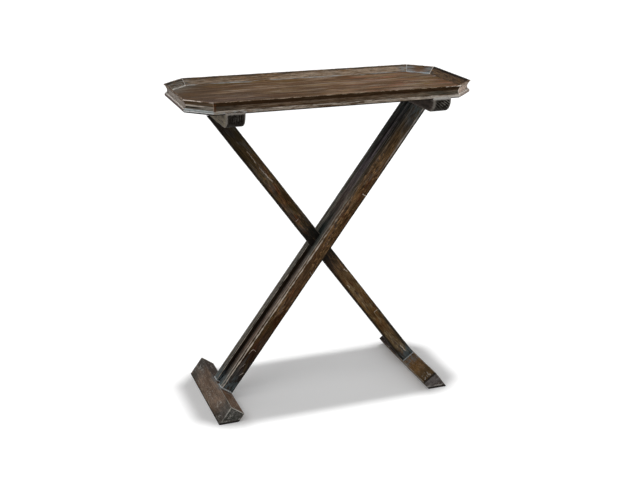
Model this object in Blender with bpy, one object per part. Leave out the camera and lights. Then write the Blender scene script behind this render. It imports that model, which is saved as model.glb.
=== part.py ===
"""Drink table: a clipped-corner tray on a stand of crossed legs, each piece its own solid."""
import math

import bmesh
import bpy
from mathutils import Matrix, Vector

# Driving dimensions, in metres. X runs along the tray, Y from front to back, Z up from the floor.
TABLE_HEIGHT = 0.635
TRAY_LENGTH = 0.5695
TRAY_DEPTH = 0.244
CORNER_CUT = 0.0445
RIM_HEIGHT = 0.0234
RECESS_DEPTH = 0.013
FIT_GAP = 0.0003

# Rim moulding: u is measured inward from the tray's outer edge, v upward from its underside.
LIP_SETBACK = 0.0013
LIP_ROUND = 0.0012
LIP_FACE = 0.0040
LIP_HEIGHT = 0.0075
LIP_SLOPE = 0.0033
LIP_STEPS = 3
HOLLOW_DEPTH = 0.0056
HOLLOW_BASE = 0.0087
FASCIA_FOOT = 0.0154
FASCIA_STEP = 0.0007
FASCIA_FLARE = 1.3
FASCIA_STEPS = 4
TOP_EDGE_INNER = 0.0044
TOP_EDGE_ROUND = 0.0009
RIM_INNER_FOOT = 0.0140
REBATE_INSET = 0.0116
TONGUE_DROP = 0.0030

# Crossed legs: rails lean sideways from the crossing.
LEG_TILT = math.radians(36.3)
CROSSING_HEIGHT = 0.3065
RAIL_WIDTH = 0.029
RAIL_THICKNESS = 0.018
RAIL_SPACING = 0.016
LEG_MIDDLE_Y = -0.005
FOOT_JOINT = 0.3486
FOOT_WIDTH = 0.0325
FOOT_LENGTH = 0.234
ARRIS = 0.0012

# Battens under the tray, each with a nose at both ends that stands up in front of the rim's lip.
BATTEN_SPREAD = 0.2012
BATTEN_WIDTH = 0.036
BATTEN_HEIGHT = 0.0256
BATTEN_LENGTH = 0.255
NOSE_RISE = 0.0036
BATTEN_NOSE = 0.024
NOSE_STEPS = 8

# Dowels, crossing pin and screws.
DOWEL_RADIUS = 0.004
DOWEL_LENGTH = 0.036
DOWEL_CHAMFER = 0.0008
FOOT_DOWEL_OFFSETS = (-0.0062, 0.0062)
BATTEN_DOWEL_OFFSETS = (-0.0125, -0.0025)
PIN_RADIUS = 0.005
PIN_BLIND_COVER = 0.006
SCREW_RADIUS = 0.0021
SCREW_HEAD_RADIUS = 0.0040
SCREW_HEAD_HEIGHT = 0.0026
SCREW_HEAD_EASE = 0.0008
SCREW_BITE = 0.0068
SCREW_SLOT_WIDTH = 0.0010
SCREW_SLOT_DEPTH = 0.0011
SCREW_SPREAD = 0.080
COUNTERBORE_RADIUS = 0.0052
COUNTERBORE_DEPTH = 0.011
ROUND_SEGMENTS = 16

# Heights and places that follow from them.
TRAY_UNDERSIDE = TABLE_HEIGHT - RIM_HEIGHT
PANEL_THICKNESS = RIM_HEIGHT - RECESS_DEPTH
TONGUE_THICKNESS = PANEL_THICKNESS - TONGUE_DROP
BATTEN_TOP = TRAY_UNDERSIDE - FIT_GAP
BATTEN_UNDERSIDE = BATTEN_TOP - BATTEN_HEIGHT
LEG_TOP_X = (BATTEN_UNDERSIDE - CROSSING_HEIGHT) * math.tan(LEG_TILT)
THROUGH_THICKNESS = RAIL_SPACING - 2 * FIT_GAP
RAIL_MIDDLE_OFFSET = (RAIL_SPACING + RAIL_THICKNESS) / 2

LEANS_RIGHT = 1
LEANS_LEFT = -1


def clear_scene():
    for item in list(bpy.data.objects):
        bpy.data.objects.remove(item)


def make_material(name, colour, roughness, metallic):
    material = bpy.data.materials.new(name)
    material.use_nodes = True
    shader = material.node_tree.nodes["Principled BSDF"]
    shader.inputs["Base Color"].default_value = (*colour, 1.0)
    shader.inputs["Roughness"].default_value = roughness
    shader.inputs["Metallic"].default_value = metallic
    return material


def add_piece(name, mesh_builder, material, smooth=False):
    """Turns a finished bmesh into a named object with outward faces."""
    bmesh.ops.recalc_face_normals(mesh_builder, faces=mesh_builder.faces)
    mesh = bpy.data.meshes.new(name)
    mesh_builder.to_mesh(mesh)
    mesh_builder.free()
    if material:
        mesh.materials.append(material)
    if smooth:
        mesh.shade_smooth()
        mesh.set_sharp_from_angle(angle=math.radians(35))
    piece = bpy.data.objects.new(name, mesh)
    bpy.context.scene.collection.objects.link(piece)
    return piece


def soften_arrises(piece):
    bevel = piece.modifiers.new("arris", "BEVEL")
    bevel.width = ARRIS
    bevel.segments = 2
    bevel.limit_method = "ANGLE"
    bevel.angle_limit = math.radians(30)


def bar(name, outline, direction, material):
    """Extrudes a closed outline of points along a direction and eases its edges."""
    builder = bmesh.new()
    corners = [builder.verts.new(point) for point in outline]
    end_face = builder.faces.new(corners)
    grown = bmesh.ops.extrude_face_region(builder, geom=[end_face])
    moved = [item for item in grown["geom"] if isinstance(item, bmesh.types.BMVert)]
    bmesh.ops.translate(builder, verts=moved, vec=direction)
    piece = add_piece(name, builder, material)
    soften_arrises(piece)
    return piece


def turned(name, profile, base, axis, material):
    """Spins a profile of (radius, height) points about an axis that starts at base."""
    builder = bmesh.new()
    points = [builder.verts.new((radius, 0, height)) for radius, height in profile]
    edges = [builder.edges.new(pair) for pair in zip(points, points[1:])]
    bmesh.ops.spin(
        builder,
        geom=points + edges,
        cent=(0, 0, 0),
        axis=(0, 0, 1),
        angle=2 * math.pi,
        steps=ROUND_SEGMENTS,
    )
    bmesh.ops.remove_doubles(builder, verts=builder.verts, dist=0.00001)
    turn = Vector(axis).to_track_quat("Z", "Y").to_matrix().to_4x4()
    bmesh.ops.transform(builder, matrix=Matrix.Translation(base) @ turn, verts=builder.verts)
    return add_piece(name, builder, material, smooth=True)


def chamfered_rod(radius, length, chamfer):
    return [
        (0, 0),
        (radius - chamfer, 0),
        (radius, chamfer),
        (radius, length - chamfer),
        (radius - chamfer, length),
        (0, length),
    ]


def cut(piece, cutter):
    """Cuts a hidden cutter out of a piece."""
    cutter.hide_render = True
    cutter.display_type = "WIRE"
    boolean = piece.modifiers.new(cutter.name, "BOOLEAN")
    boolean.operation = "DIFFERENCE"
    boolean.solver = "EXACT"
    boolean.object = cutter


def bore(pieces, name, radius, base, axis, length):
    """Bores one hole, a fitting gap wider and deeper than what goes in it, through some pieces."""
    direction = Vector(axis).normalized()
    start = Vector(base) - direction * FIT_GAP
    rod = [
        (0, 0),
        (radius + FIT_GAP, 0),
        (radius + FIT_GAP, length + 2 * FIT_GAP),
        (0, length + 2 * FIT_GAP),
    ]
    cutter = turned(f"cutter_{name}", rod, start, direction, None)
    for piece in pieces:
        cut(piece, cutter)


# The tray: a panel held in a frame of eight mitred mouldings.
def tray_corners(inset):
    """Corners of the tray's clipped outline, moved in by an inset, from the left end, turning left."""
    half_x = TRAY_LENGTH / 2 - inset
    half_y = TRAY_DEPTH / 2 - inset
    cut_length = CORNER_CUT - inset * (2 - math.sqrt(2))
    return [
        Vector((-half_x, half_y - cut_length)),
        Vector((-half_x, cut_length - half_y)),
        Vector((cut_length - half_x, -half_y)),
        Vector((half_x - cut_length, -half_y)),
        Vector((half_x, cut_length - half_y)),
        Vector((half_x, half_y - cut_length)),
        Vector((half_x - cut_length, half_y)),
        Vector((cut_length - half_x, half_y)),
    ]


def rim_profile():
    """Section of the moulding: rounded lip, hollow, flared fascia, top edge, splayed inside, rebate."""
    section = [
        (LIP_SETBACK + LIP_ROUND, 0),
        (LIP_SETBACK, LIP_ROUND),
    ]
    for step in range(LIP_STEPS + 1):
        sweep = step / LIP_STEPS * math.pi / 2
        inward = LIP_SETBACK + LIP_SLOPE * (1 - math.cos(sweep))
        section.append((inward, LIP_FACE + (LIP_HEIGHT - LIP_FACE) * math.sin(sweep)))
    fascia_inward = HOLLOW_DEPTH - FASCIA_STEP
    section.append((HOLLOW_DEPTH, HOLLOW_BASE))
    section.append((HOLLOW_DEPTH, FASCIA_FOOT - FASCIA_STEP / 2))
    fascia_rise = RIM_HEIGHT - TOP_EDGE_ROUND - FASCIA_FOOT
    for step in range(FASCIA_STEPS + 1):
        climb = step / FASCIA_STEPS
        inward = fascia_inward * (1 - climb**FASCIA_FLARE)
        section.append((inward, FASCIA_FOOT + fascia_rise * climb))
    section.append((TOP_EDGE_ROUND, RIM_HEIGHT))
    section.append((TOP_EDGE_INNER - TOP_EDGE_ROUND, RIM_HEIGHT))
    section.append((TOP_EDGE_INNER, RIM_HEIGHT - TOP_EDGE_ROUND))
    section.append((RIM_INNER_FOOT, PANEL_THICKNESS))
    section.append((RIM_INNER_FOOT, TONGUE_THICKNESS + FIT_GAP))
    section.append((REBATE_INSET, TONGUE_THICKNESS + FIT_GAP))
    section.append((REBATE_INSET, 0))
    return section


def rim(name, corner, material):
    """Sweeps the moulding from one corner of the tray to the next, mitred at both ends."""
    next_corner = (corner + 1) % len(tray_corners(0))
    ends = ([], [])
    for inset, height in rim_profile():
        start = tray_corners(inset)[corner]
        stop = tray_corners(inset)[next_corner]
        mitre_gap = (stop - start).normalized() * FIT_GAP / 2 / math.cos(math.pi / 8)
        for loop, place in zip(ends, (start + mitre_gap, stop - mitre_gap)):
            loop.append((place.x, place.y, TRAY_UNDERSIDE + height))
    builder = bmesh.new()
    first = [builder.verts.new(point) for point in ends[0]]
    last = [builder.verts.new(point) for point in ends[1]]
    rings = [builder.faces.new(first), builder.faces.new(last)]
    bmesh.ops.bridge_loops(builder, edges=[edge for face in rings for edge in face.edges])
    return add_piece(name, builder, material)


def panel(name, material):
    """The tray's floor, with a tongue round its edge let into the rims' rebate."""
    edge_section = (
        (REBATE_INSET + FIT_GAP, 0),
        (REBATE_INSET + FIT_GAP, TONGUE_THICKNESS),
        (RIM_INNER_FOOT + FIT_GAP, TONGUE_THICKNESS),
        (RIM_INNER_FOOT + FIT_GAP, PANEL_THICKNESS),
    )
    builder = bmesh.new()
    rings = []
    for inset, height in edge_section:
        corners = [(*point, TRAY_UNDERSIDE + height) for point in tray_corners(inset)]
        rings.append([builder.verts.new(point) for point in corners])
    builder.faces.new(rings[0])
    builder.faces.new(rings[-1])
    for lower, upper in zip(rings, rings[1:]):
        for corner, point in enumerate(lower):
            before = corner - 1
            builder.faces.new((lower[before], point, upper[corner], upper[before]))
    return add_piece(name, builder, material)


def build_tray(material):
    rim_names = (
        "rim_left",
        "rim_front_left",
        "rim_front",
        "rim_front_right",
        "rim_right",
        "rim_back_right",
        "rim_back",
        "rim_back_left",
    )
    for corner, name in enumerate(rim_names):
        rim(name, corner, material)
    return panel("tray_panel", material)


# Battens under the tray, notched so that the rim's lip sits between their rounded noses.
def batten(name, side, material):
    half = BATTEN_LENGTH / 2
    notch = TRAY_DEPTH / 2 - LIP_SETBACK + FIT_GAP
    nose_top = TRAY_UNDERSIDE + NOSE_RISE
    outline = [
        (-half, nose_top),
        (-notch, nose_top),
        (-notch, BATTEN_TOP),
        (notch, BATTEN_TOP),
        (notch, nose_top),
        (half, nose_top),
    ]
    for end in (1, -1):
        for step in range(NOSE_STEPS + 1):
            sweep = step / NOSE_STEPS * math.pi / 2
            if end < 0:
                sweep = math.pi / 2 - sweep
            along = end * (half - BATTEN_NOSE + BATTEN_NOSE * math.cos(sweep))
            outline.append((along, BATTEN_UNDERSIDE + BATTEN_NOSE * (1 - math.sin(sweep))))
    left_face = side * BATTEN_SPREAD - BATTEN_WIDTH / 2
    points = [(left_face, along, height) for along, height in outline]
    return bar(name, points, (BATTEN_WIDTH, 0, 0), material)


# Legs and feet share one slanted frame through the crossing.
def on_leg(lean, along, offset):
    """X and Z of a point along a leg's axis from the crossing, offset toward its upper side."""
    across = along * math.sin(LEG_TILT) - offset * math.cos(LEG_TILT)
    height = CROSSING_HEIGHT + along * math.cos(LEG_TILT) + offset * math.sin(LEG_TILT)
    return lean * across, height


def along_at_height(height, offset):
    return (height - CROSSING_HEIGHT - offset * math.sin(LEG_TILT)) / math.cos(LEG_TILT)


def leg_axis(lean):
    return Vector((lean * math.sin(LEG_TILT), 0, math.cos(LEG_TILT)))


def leg_rail(name, lean, middle_y, thickness, material):
    half = RAIL_WIDTH / 2
    top = BATTEN_UNDERSIDE - FIT_GAP
    corners = [
        on_leg(lean, -FOOT_JOINT, -half),
        on_leg(lean, -FOOT_JOINT, half),
        on_leg(lean, along_at_height(top, half), half),
        on_leg(lean, along_at_height(top, -half), -half),
    ]
    front = middle_y - thickness / 2
    outline = [(x, front, z) for x, z in corners]
    return bar(name, outline, (0, thickness, 0), material)


def foot(name, lean, material):
    half = FOOT_WIDTH / 2
    corners = [
        on_leg(lean, -FOOT_JOINT - FIT_GAP, -half),
        on_leg(lean, -FOOT_JOINT - FIT_GAP, half),
        on_leg(lean, along_at_height(0, half), half),
        on_leg(lean, along_at_height(0, -half), -half),
    ]
    outline = [(x, -FOOT_LENGTH / 2, z) for x, z in corners]
    return bar(name, outline, (0, FOOT_LENGTH, 0), material)


# Dowels join every rail end to the foot below it and the batten above it.
def dowel(name, pieces, middle, axis, material):
    direction = Vector(axis)
    base = Vector(middle) - direction * DOWEL_LENGTH / 2
    rod = chamfered_rod(DOWEL_RADIUS, DOWEL_LENGTH, DOWEL_CHAMFER)
    turned(name, rod, base, direction, material)
    bore(pieces, name, DOWEL_RADIUS, base, direction, DOWEL_LENGTH)


def dowel_rail(rail_name, rail_piece, lean, middle_y, lower_foot, upper_batten, material):
    for place, offset in zip(("lower", "upper"), FOOT_DOWEL_OFFSETS):
        x, z = on_leg(lean, -FOOT_JOINT, offset)
        name = f"dowel_{rail_name}_foot_{place}"
        dowel(name, (rail_piece, lower_foot), (x, middle_y, z), leg_axis(lean), material)
    for place, offset in zip(("inner", "outer"), BATTEN_DOWEL_OFFSETS):
        x = lean * (LEG_TOP_X + offset)
        name = f"dowel_{rail_name}_batten_{place}"
        middle = (x, middle_y, BATTEN_UNDERSIDE)
        dowel(name, (rail_piece, upper_batten), middle, (0, 0, 1), material)


def crossing_pin(name, front_rail, rear_rail, through_rail, material):
    """A pin from the rear rail's back face, blind in the front rail."""
    back = LEG_MIDDLE_Y + RAIL_SPACING / 2 + RAIL_THICKNESS - FIT_GAP
    front = LEG_MIDDLE_Y - RAIL_SPACING / 2 - RAIL_THICKNESS + PIN_BLIND_COVER
    length = back - front
    base = (0, front, CROSSING_HEIGHT)
    rod = chamfered_rod(PIN_RADIUS, length, DOWEL_CHAMFER)
    turned(name, rod, base, (0, 1, 0), material)
    bore((front_rail, rear_rail, through_rail), name, PIN_RADIUS, base, (0, 1, 0), length)


# Slotted screws rise from counterbores in the battens into the tray panel.
def batten_screw(name, side, along, batten_piece, panel_piece, material):
    x = side * BATTEN_SPREAD
    seat = BATTEN_UNDERSIDE + COUNTERBORE_DEPTH
    tip = TRAY_UNDERSIDE + SCREW_BITE
    head_base = seat - FIT_GAP - SCREW_HEAD_HEIGHT
    shank_start = SCREW_HEAD_HEIGHT
    length = tip - head_base
    profile = [
        (0, 0),
        (SCREW_HEAD_RADIUS - SCREW_HEAD_EASE, 0),
        (SCREW_HEAD_RADIUS, SCREW_HEAD_EASE),
        (SCREW_HEAD_RADIUS, shank_start),
        (SCREW_RADIUS, shank_start),
        (SCREW_RADIUS, length - 2 * SCREW_RADIUS),
        (0, length),
    ]
    screw = turned(name, profile, (x, along, head_base), (0, 0, 1), material)
    slot = bmesh.new()
    bmesh.ops.create_cube(slot, size=1)
    slot_size = (4 * SCREW_HEAD_RADIUS, SCREW_SLOT_WIDTH, 2 * SCREW_SLOT_DEPTH)
    bmesh.ops.scale(slot, vec=slot_size, verts=slot.verts)
    bmesh.ops.translate(slot, vec=(x, along, head_base), verts=slot.verts)
    cut(screw, add_piece(f"cutter_slot_{name}", slot, None))
    shank_base = (x, along, head_base)
    bore((batten_piece, panel_piece), name, SCREW_RADIUS, shank_base, (0, 0, 1), length)
    mouth = (x, along, BATTEN_UNDERSIDE - COUNTERBORE_DEPTH)
    depth = 2 * COUNTERBORE_DEPTH - FIT_GAP
    bore((batten_piece,), f"counterbore_{name}", COUNTERBORE_RADIUS, mouth, (0, 0, 1), depth)


def build_table():
    clear_scene()
    tray_wood = make_material("tray_wood", (0.150, 0.105, 0.075), 0.55, 0.0)
    leg_wood = make_material("leg_wood", (0.105, 0.075, 0.055), 0.55, 0.0)
    dowel_wood = make_material("dowel_wood", (0.520, 0.370, 0.220), 0.65, 0.0)
    screw_steel = make_material("screw_steel", (0.420, 0.400, 0.360), 0.40, 1.0)

    tray = build_tray(tray_wood)
    left_batten = batten("batten_left", LEANS_LEFT, leg_wood)
    right_batten = batten("batten_right", LEANS_RIGHT, leg_wood)
    left_foot = foot("foot_left", LEANS_RIGHT, leg_wood)
    right_foot = foot("foot_right", LEANS_LEFT, leg_wood)

    front_y = LEG_MIDDLE_Y - RAIL_MIDDLE_OFFSET
    rear_y = LEG_MIDDLE_Y + RAIL_MIDDLE_OFFSET
    front_rail = leg_rail("leg_front_rail", LEANS_RIGHT, front_y, RAIL_THICKNESS, leg_wood)
    rear_rail = leg_rail("leg_rear_rail", LEANS_RIGHT, rear_y, RAIL_THICKNESS, leg_wood)
    through_rail = leg_rail("leg_through_rail", LEANS_LEFT, LEG_MIDDLE_Y, THROUGH_THICKNESS, leg_wood)

    dowel_rail("front_rail", front_rail, LEANS_RIGHT, front_y, left_foot, right_batten, dowel_wood)
    dowel_rail("rear_rail", rear_rail, LEANS_RIGHT, rear_y, left_foot, right_batten, dowel_wood)
    dowel_rail(
        "through_rail", through_rail, LEANS_LEFT, LEG_MIDDLE_Y, right_foot, left_batten, dowel_wood
    )
    crossing_pin("crossing_pin", front_rail, rear_rail, through_rail, dowel_wood)

    sides = (("left", LEANS_LEFT, left_batten), ("right", LEANS_RIGHT, right_batten))
    for side_name, side, batten_piece in sides:
        for end_name, along in (("front", -SCREW_SPREAD), ("back", SCREW_SPREAD)):
            name = f"screw_{side_name}_{end_name}"
            batten_screw(name, side, along, batten_piece, tray, screw_steel)


build_table()
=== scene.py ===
import math

import bmesh
import bpy
from mathutils import Matrix, Vector


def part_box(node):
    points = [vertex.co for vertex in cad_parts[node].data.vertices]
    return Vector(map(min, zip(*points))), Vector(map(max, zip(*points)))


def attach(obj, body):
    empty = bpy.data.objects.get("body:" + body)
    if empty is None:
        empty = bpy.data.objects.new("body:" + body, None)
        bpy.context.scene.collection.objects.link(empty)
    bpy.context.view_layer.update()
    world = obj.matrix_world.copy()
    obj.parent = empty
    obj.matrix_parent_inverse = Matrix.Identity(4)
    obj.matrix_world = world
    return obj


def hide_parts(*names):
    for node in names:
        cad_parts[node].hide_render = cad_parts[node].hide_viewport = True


# The table's own frame: X along the tray, Y to the back, Z up from the floor it stands on.
# Every piece is a separate length of dark stained oak, worked by hand and put together from the tray down.
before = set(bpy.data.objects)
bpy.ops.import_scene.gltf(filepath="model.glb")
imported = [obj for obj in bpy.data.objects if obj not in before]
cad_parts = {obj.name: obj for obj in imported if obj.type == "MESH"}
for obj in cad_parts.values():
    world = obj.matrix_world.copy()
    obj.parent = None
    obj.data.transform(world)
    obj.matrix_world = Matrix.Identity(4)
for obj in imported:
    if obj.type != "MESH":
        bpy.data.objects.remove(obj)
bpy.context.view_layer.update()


# Tray floor: one flat panel of edge-glued oak boards with the grain along the tray.
# It is planed by hand, stained in streaks and rubbed, and a tongue round its edge sits in the rim.
panel_low, panel_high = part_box("tray_panel")
TONGUE_REACH = 0.0024
TONGUE_DROP = 0.003
PANEL_CLIP = 0.0361
PANEL_COLUMNS = 181
PANEL_ROWS = 73
PANEL_HOLLOW = 0.0007
PANEL_RUB = 0.0003
PANEL_SKIN = 0.0001
PANEL_TONES = ((0.052, 0.025, 0.009), (0.112, 0.062, 0.03), (0.215, 0.145, 0.092))
PANEL_STREAK = (0.16, 0.009)
PORE_COLOUR = (0.012, 0.006, 0.003)
WOOD_SPECULAR = 0.02
SMOOTH_ANGLE = math.radians(40)


def work_on(piece):
    """Leaves one piece selected and active."""
    bpy.ops.object.select_all(action="DESELECT")
    piece.select_set(True)
    bpy.context.view_layer.objects.active = piece


def set_in_place(piece):
    """Puts a piece's place, turn and size into its mesh."""
    work_on(piece)
    bpy.ops.object.transform_apply(location=True, rotation=True, scale=True)


def blank(name, shape, **sizes):
    """A plain shape to work from, added by one of Blender's own operators."""
    bpy.ops.object.select_all(action="DESELECT")
    shape(**sizes)
    piece = bpy.context.active_object
    piece.name = name
    set_in_place(piece)
    return piece


def take_all():
    """In edit mode, selects the whole mesh."""
    bpy.ops.mesh.select_all(action="SELECT")


def pick(piece, kind, test):
    """In edit mode, selects only the faces or edges for which the test holds."""
    bpy.ops.mesh.select_mode(type=kind)
    bpy.ops.mesh.select_all(action="DESELECT")
    shape = bmesh.from_edit_mesh(piece.data)
    for part in {"FACE": shape.faces, "EDGE": shape.edges}[kind]:
        if test(part):
            part.select_set(True)
    shape.select_flush_mode()
    bmesh.update_edit_mesh(piece.data)


def hand_work(piece, marks, size, depth, group="", detail=2):
    """Moves the surface in and out unevenly, as a plane, a rasp or years of knocks leave it."""
    unevenness = bpy.data.textures.new(f"{piece.name}_{marks}", "CLOUDS")
    unevenness.noise_scale = size
    unevenness.noise_depth = detail
    shaping = piece.modifiers.new(marks, "DISPLACE")
    shaping.texture = unevenness
    shaping.texture_coords = "GLOBAL"
    shaping.strength = depth
    shaping.mid_level = 0.5
    shaping.vertex_group = group
    work_on(piece)
    bpy.ops.object.modifier_apply(modifier=marks)


def smooth(piece, angle):
    """Shades a piece smooth but for its sharper edges."""
    work_on(piece)
    bpy.ops.object.shade_smooth_by_angle(angle=angle)


def mark_out(piece, group, share):
    """Names the part of a surface that some work is limited to, by each point's share."""
    marked = piece.vertex_groups.new(name=group)
    for point in piece.data.vertices:
        amount = share(point)
        if amount > 0:
            marked.add([point.index], min(amount, 1.0), "REPLACE")


def hang_on_frame(piece, solid, material):
    """Gives a piece its material, hangs it on the root body, and hides the solid it stands for."""
    piece.data.materials.append(material)
    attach(piece, "root")
    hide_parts(solid)


def is_socket(value):
    return isinstance(value, bpy.types.NodeSocket)


def feed(socket, value):
    """Links a socket to an input, or sets the input to a plain value."""
    if is_socket(value):
        socket.id_data.links.new(value, socket)
    else:
        socket.default_value = value


def node(tree, kind, *values, **settings):
    """A shader node of a kind, set up, with its inputs fed in their order."""
    made = tree.nodes.new(f"ShaderNode{kind}")
    for name, setting in settings.items():
        setattr(made, name, setting)
    for socket, value in zip(made.inputs, values):
        feed(socket, value)
    return made


def calc(operation, *values):
    """One sum on sockets and numbers."""
    tree = next(value.id_data for value in values if is_socket(value))
    return node(tree, "Math", *values, operation=operation).outputs[0]


def plus(one, other):
    return calc("ADD", one, other)


def less(one, other):
    return calc("SUBTRACT", one, other)


def unsigned(value):
    return calc("ABSOLUTE", value)


def both(*amounts):
    """Amounts that hold together: each takes its share of the others."""
    product = amounts[0]
    for amount in amounts[1:]:
        product = calc("MULTIPLY", product, amount)
    return product


def between(value, start, stop, low=0.0, high=1.0):
    """Goes softly from low to high as the value goes from start to stop."""
    numbers = (value, start, stop, low, high)
    return node(value.id_data, "MapRange", *numbers, interpolation_type="SMOOTHSTEP").outputs[0]


def figure(place, stretch, detail=2.0, roughness=0.5, wander=0.0):
    """An uneven pattern, with so many marks to the metre along each direction."""
    spread = node(place.id_data, "VectorMath", place, stretch, operation="MULTIPLY")
    marks = node(place.id_data, "TexNoise", spread.outputs[0])
    feed(marks.inputs["Scale"], 1.0)
    feed(marks.inputs["Detail"], detail)
    feed(marks.inputs["Roughness"], roughness)
    feed(marks.inputs["Distortion"], wander)
    return marks.outputs[0]


def tint(amount, under, over, way="MIX"):
    """Lays one colour over another by an amount from 0 to 1."""
    tree = next(value.id_data for value in (amount, under, over) if is_socket(value))
    layer = node(tree, "Mix", amount, data_type="RGBA", blend_type=way)
    for socket, colour in ((layer.inputs[6], under), (layer.inputs[7], over)):
        feed(socket, colour if is_socket(colour) else (*colour, 1.0))
    return layer.outputs[2]


def turned_place(place, centre, turn):
    """The place in a frame of its own, moved to a centre and turned."""
    return node(place.id_data, "Mapping", place, centre, turn, vector_type="TEXTURE").outputs[0]


def parts_of(place):
    """The three numbers of a place."""
    return node(place.id_data, "SeparateXYZ", place).outputs


class Finish:
    """A stain in the making: its material, the piece's own directions, its figure, and the colour so far."""


def stained_oak(name, centre, turn, tones, streak):
    """Stained oak with its grain along the turned X: streaks of a length and width, fibres and pores."""
    oak = Finish()
    oak.material = bpy.data.materials.new(name)
    oak.material.use_nodes = True
    tree = oak.material.node_tree
    oak.shader = tree.nodes["Principled BSDF"]
    oak.place = node(tree, "TexCoord").outputs["Object"]
    oak.own = turned_place(oak.place, centre, turn)
    along, across = (1 / size for size in streak)
    oak.streaks = figure(oak.own, (along, across, across), 4.0, 0.62, 0.4)
    broad = figure(oak.own, (along * 1.4, across / 2.4, across / 2.4), 3.0, 0.55, 0.6)
    oak.fibres = figure(oak.own, (along * 5, across * 6, across * 6), 3.0, 0.65)
    pores = figure(oak.own, (along * 22, across * 9, across * 9), 1.0, 0.5)
    oak.pores = between(pores, 0.58, 0.7)
    dark, middle, light = tones
    colour = tint(between(oak.streaks, 0.38, 0.6), dark, middle)
    oak.colour = tint(between(broad, 0.5, 0.66, 0.0, 0.85), colour, light)
    return oak


def wash(oak, amount, colour, way="MIX"):
    """Lays a further colour over the stain so far."""
    oak.colour = tint(amount, oak.colour, colour, way)


def patches(oak, length, width, start, stop, amount=1.0):
    """Uneven patches of a length along the grain and a width across it."""
    marks = figure(oak.own, (1 / length, 1 / width, 1 / width), 3.0, 0.6, 0.5)
    return between(marks, start, stop, 0.0, amount)


def dab(oak, zone, spots, colour):
    """Lays a colour on in uneven patches over one zone of the piece."""
    wash(oak, both(zone, patches(oak, *spots)), colour)


def inside_of(value, half):
    """How far a value is inside plus or minus a half size."""
    return less(half, unsigned(value))


def nearest_two(*distances):
    """The smallest and the second smallest of some distances."""
    first = calc("MINIMUM", distances[0], distances[1])
    second = calc("MAXIMUM", distances[0], distances[1])
    for distance in distances[2:]:
        second = calc("MINIMUM", second, calc("MAXIMUM", first, distance))
        first = calc("MINIMUM", first, distance)
    return first, second


def seal(oak, depth=0.45, roughness=(0.46, 0.7), relief=0.0004):
    """Finishes a stain: fibres light and dark, open pores, uneven sheen, and grain that can be felt."""
    tree = oak.material.node_tree
    sockets = oak.shader.inputs
    shade = node(tree, "VectorMath", oak.colour, operation="SCALE")
    feed(shade.inputs["Scale"], between(oak.fibres, 0.36, 0.64, 1 - depth, 1 + depth))
    oak.colour = shade.outputs[0]
    wash(oak, both(oak.pores, 0.45), PORE_COLOUR)
    feed(sockets["Base Color"], oak.colour)
    feed(sockets["Roughness"], between(oak.fibres, 0.3, 0.7, *roughness))
    feed(sockets["Specular IOR Level"], WOOD_SPECULAR)
    height = calc("MULTIPLY_ADD", oak.streaks, 0.8, oak.fibres)
    feel = node(tree, "Bump")
    feed(feel.inputs["Strength"], 0.55)
    feed(feel.inputs["Distance"], relief)
    feed(feel.inputs["Height"], less(height, oak.pores))
    feed(sockets["Normal"], feel.outputs[0])
    return oak.material


half_panel = Vector((panel_high.x - TONGUE_REACH, panel_high.y - TONGUE_REACH))
panel = blank(
    "tray_floor_boards",
    bpy.ops.mesh.primitive_grid_add,
    x_subdivisions=PANEL_COLUMNS,
    y_subdivisions=PANEL_ROWS,
    size=1,
    location=(0, 0, panel_high.z),
)
panel.scale = (2 * half_panel.x, 2 * half_panel.y, 1)
set_in_place(panel)
bpy.ops.object.mode_set(mode="EDIT")
for side_x in (-1, 1):
    for side_y in (-1, 1):
        corner = (side_x * (half_panel.x - PANEL_CLIP), side_y * half_panel.y, panel_high.z)
        take_all()
        bpy.ops.mesh.bisect(plane_co=corner, plane_no=(side_x, side_y, 0), clear_outer=True)
take_all()
bpy.ops.mesh.extrude_region_move(TRANSFORM_OT_translate={"value": (0, 0, -TONGUE_DROP)})
panel_core = panel_high.z - TONGUE_DROP - panel_low.z
bpy.ops.mesh.extrude_region_move(TRANSFORM_OT_translate={"value": (0, 0, -panel_core)})
take_all()
bpy.ops.mesh.normals_make_consistent(inside=False)
tongue_level = panel_low.z + panel_core * 0.9
pick(panel, "FACE", lambda face: abs(face.normal.z) < 0.1 and face.calc_center_median().z < tongue_level)
bpy.ops.mesh.extrude_region_shrink_fatten(
    TRANSFORM_OT_shrink_fatten={"value": TONGUE_REACH, "use_even_offset": True}
)
bpy.ops.object.mode_set(mode="OBJECT")
mark_out(panel, "top", lambda point: float(point.co.z > panel_high.z - PANEL_SKIN))
hand_work(panel, "planing", 0.045, PANEL_HOLLOW, "top")
hand_work(panel, "rubbing", 0.009, PANEL_RUB, "top")
smooth(panel, SMOOTH_ANGLE)

stain = stained_oak("tray_floor_stain", (0, 0, 0.6), (0, 0, 0), PANEL_TONES, PANEL_STREAK)
panel_x, panel_y = parts_of(stain.own)[:2]
dab(stain, between(panel_x, -0.05, 0.12), (0.09, 0.012, 0.5, 0.6, 0.7), (0.19, 0.08, 0.044))
dab(stain, 1.0, (0.12, 0.012, 0.53, 0.62, 0.6), (0.13, 0.086, 0.028))
dab(stain, 1.0, (0.11, 0.01, 0.54, 0.62, 0.65), (0.23, 0.178, 0.138))
dab(stain, 1.0, (0.14, 0.008, 0.55, 0.64, 0.75), (0.036, 0.016, 0.006))
left_end = calc("MULTIPLY_ADD", patches(stain, 0.12, 0.03, 0.4, 0.6), 0.1, panel_x)
wash(stain, between(left_end, -0.04, -0.2, 0.0, 0.68), (0.043, 0.025, 0.012))
near_corner = both(between(panel_x, -0.06, -0.18), between(panel_y, 0.02, -0.07))
dab(stain, near_corner, (0.09, 0.02, 0.32, 0.52, 0.8), (0.05, 0.028, 0.021))
beyond = plus(unsigned(panel_x), unsigned(panel_y))
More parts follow.
